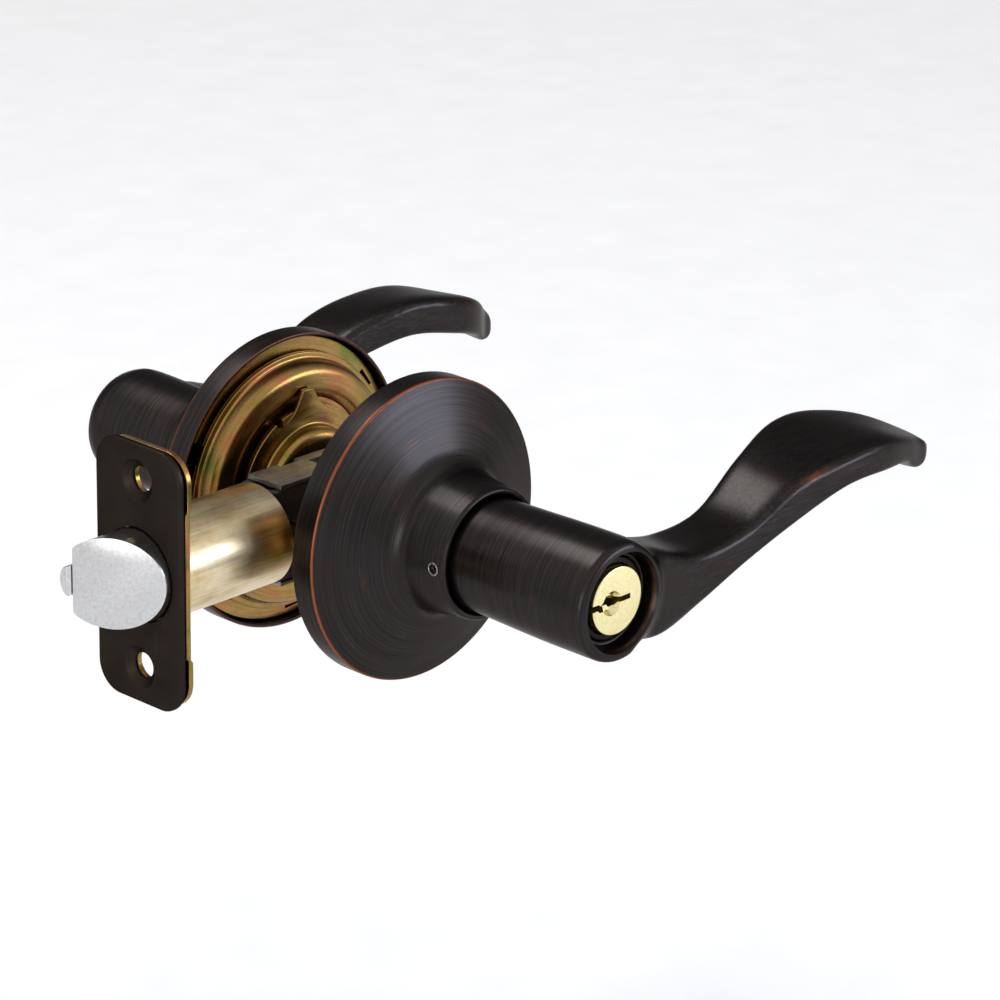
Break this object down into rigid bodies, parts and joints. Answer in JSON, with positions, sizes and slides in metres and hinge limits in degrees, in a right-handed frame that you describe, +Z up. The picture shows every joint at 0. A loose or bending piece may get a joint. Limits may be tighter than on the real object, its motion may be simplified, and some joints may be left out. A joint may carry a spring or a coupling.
{
  "type": "lever handle lockset",
  "caption": "Keyed entry lever lockset: wave levers on round roses both sides of the door, a spring latch with faceplate and deadlatch, and a keyed cylinder in the lever's end.",
  "frame": {"origin": "where the spindle's axis crosses the latch's axis, in the middle of the door's thickness", "axes": "-Y out of the door's outside face, -X towards the door's edge and the latchbolt, +X towards the lever tips, +Z up"},
  "size_m": [0.187, 0.1573, 0.0664],
  "materials": {
    "oil_rubbed_bronze": "oil rubbed bronze, brushed, with copper showing on worn edges",
    "face_bronze": "satin dark bronze",
    "yellow_zinc": "yellow zinc dichromate plate",
    "pale_zinc": "pale yellow zinc plate",
    "satin_chrome": "satin chrome",
    "brass": "polished",
    "grey_steel": "plain grey",
    "spring_steel": "spring steel",
    "black_plastic": "moulded black"
  },
  "bodies": {
    "lock_body": {"exterior_rose": "oil_rubbed_bronze", "exterior_rose_liner": "yellow_zinc", "exterior_mounting_plate": "yellow_zinc", "exterior_bearing_plate": "yellow_zinc", "exterior_lever_spring": "spring_steel", "interior_rose": "oil_rubbed_bronze", "interior_rose_liner": "yellow_zinc", "interior_mounting_plate": "yellow_zinc", "interior_bearing_plate": "yellow_zinc", "interior_lever_spring": "spring_steel", "screw_post_left": "yellow_zinc", "screw_post_right": "yellow_zinc", "mounting_screw_left": "grey_steel", "mounting_screw_right": "grey_steel", "latch_faceplate": "face_bronze", "latch_backplate": "yellow_zinc", "latch_tube": "pale_zinc", "latch_case": "grey_steel", "cam_housing": "black_plastic", "bolt_spring": "spring_steel"},
    "exterior_lever": {"exterior_lever": "oil_rubbed_bronze", "exterior_hub": "yellow_zinc", "exterior_retaining_ring": "spring_steel", "cylinder_housing": "face_bronze", "driver_pin_1": "brass", "driver_pin_2": "brass", "driver_pin_3": "brass", "driver_pin_4": "brass", "driver_pin_5": "brass", "pin_spring_1": "spring_steel", "pin_spring_2": "spring_steel", "pin_spring_3": "spring_steel", "pin_spring_4": "spring_steel", "pin_spring_5": "spring_steel"},
    "key_plug": {"key_plug": "brass", "tail_blade": "spring_steel", "key_pin_1": "brass", "key_pin_2": "brass", "key_pin_3": "brass", "key_pin_4": "brass", "key_pin_5": "brass"},
    "interior_lever": {"interior_lever": "oil_rubbed_bronze", "interior_hub": "yellow_zinc", "interior_retaining_ring": "spring_steel", "button_bush": "black_plastic"},
    "turn_button": {"turn_button": "oil_rubbed_bronze"},
    "spindle": {"spindle": "yellow_zinc", "latch_cam": "grey_steel"},
    "latchbolt": {"latchbolt": "satin_chrome", "plunger_spring": "spring_steel"},
    "plunger": {"deadlatch_plunger": "satin_chrome"},
    "exterior_catch": {"exterior_lever_catch": "spring_steel"},
    "interior_catch": {"interior_lever_catch": "spring_steel"}
  },
  "joints": [
    {"name": "exterior_lever_turn", "type": "hinge", "parent": "lock_body", "child": "exterior_lever", "pos_m": [0, 0, 0], "axis": [0, 1, 0], "range_deg": [0, 55], "stiffness_Nm_per_rad": 0.5, "springref_deg": -51.57},
    {"name": "interior_lever_turn", "type": "hinge", "parent": "lock_body", "child": "interior_lever", "pos_m": [0, 0, 0], "axis": [0, 1, 0], "range_deg": [0, 55], "stiffness_Nm_per_rad": 0.5, "springref_deg": -51.57},
    {"name": "spindle_turn", "type": "hinge", "parent": "lock_body", "child": "spindle", "pos_m": [0, 0, 0], "axis": [0, 1, 0], "range_deg": [0, 55]},
    {"name": "latchbolt_slide", "type": "slide", "parent": "lock_body", "child": "latchbolt", "axis": [1, 0, 0], "range_m": [0, 0.0127], "stiffness_N_per_m": 150, "springref_m": -0.02, "deforming": ["bolt_spring"]},
    {"name": "plunger_slide", "type": "slide", "parent": "latchbolt", "child": "plunger", "axis": [1, 0, 0], "range_m": [0, 0.009], "stiffness_N_per_m": 60, "springref_m": -0.01, "deforming": ["plunger_spring"]},
    {"name": "key_plug_turn", "type": "hinge", "parent": "exterior_lever", "child": "key_plug", "pos_m": [0, -0.066, 0], "axis": [0, 1, 0], "range_deg": [-90, 90]},
    {"name": "turn_button_turn", "type": "hinge", "parent": "interior_lever", "child": "turn_button", "pos_m": [0, 0.073, 0], "axis": [0, 1, 0], "range_deg": [0, 90]},
    {"name": "exterior_catch_press", "type": "slide", "parent": "exterior_lever", "child": "exterior_catch", "axis": [1, 0, 0], "range_m": [0, 0.0014], "stiffness_N_per_m": 300, "springref_m": -0.003},
    {"name": "interior_catch_press", "type": "slide", "parent": "interior_lever", "child": "interior_catch", "axis": [1, 0, 0], "range_m": [0, 0.0014], "stiffness_N_per_m": 300, "springref_m": -0.003}
  ],
  "couplings": [
    {"joint": "interior_lever_turn", "follows": "exterior_lever_turn", "ratio": 1},
    {"joint": "spindle_turn", "follows": "exterior_lever_turn", "ratio": 1},
    {"joint": "latchbolt_slide", "follows": "exterior_lever_turn", "m_per_rad": 0.01322}
  ]
}
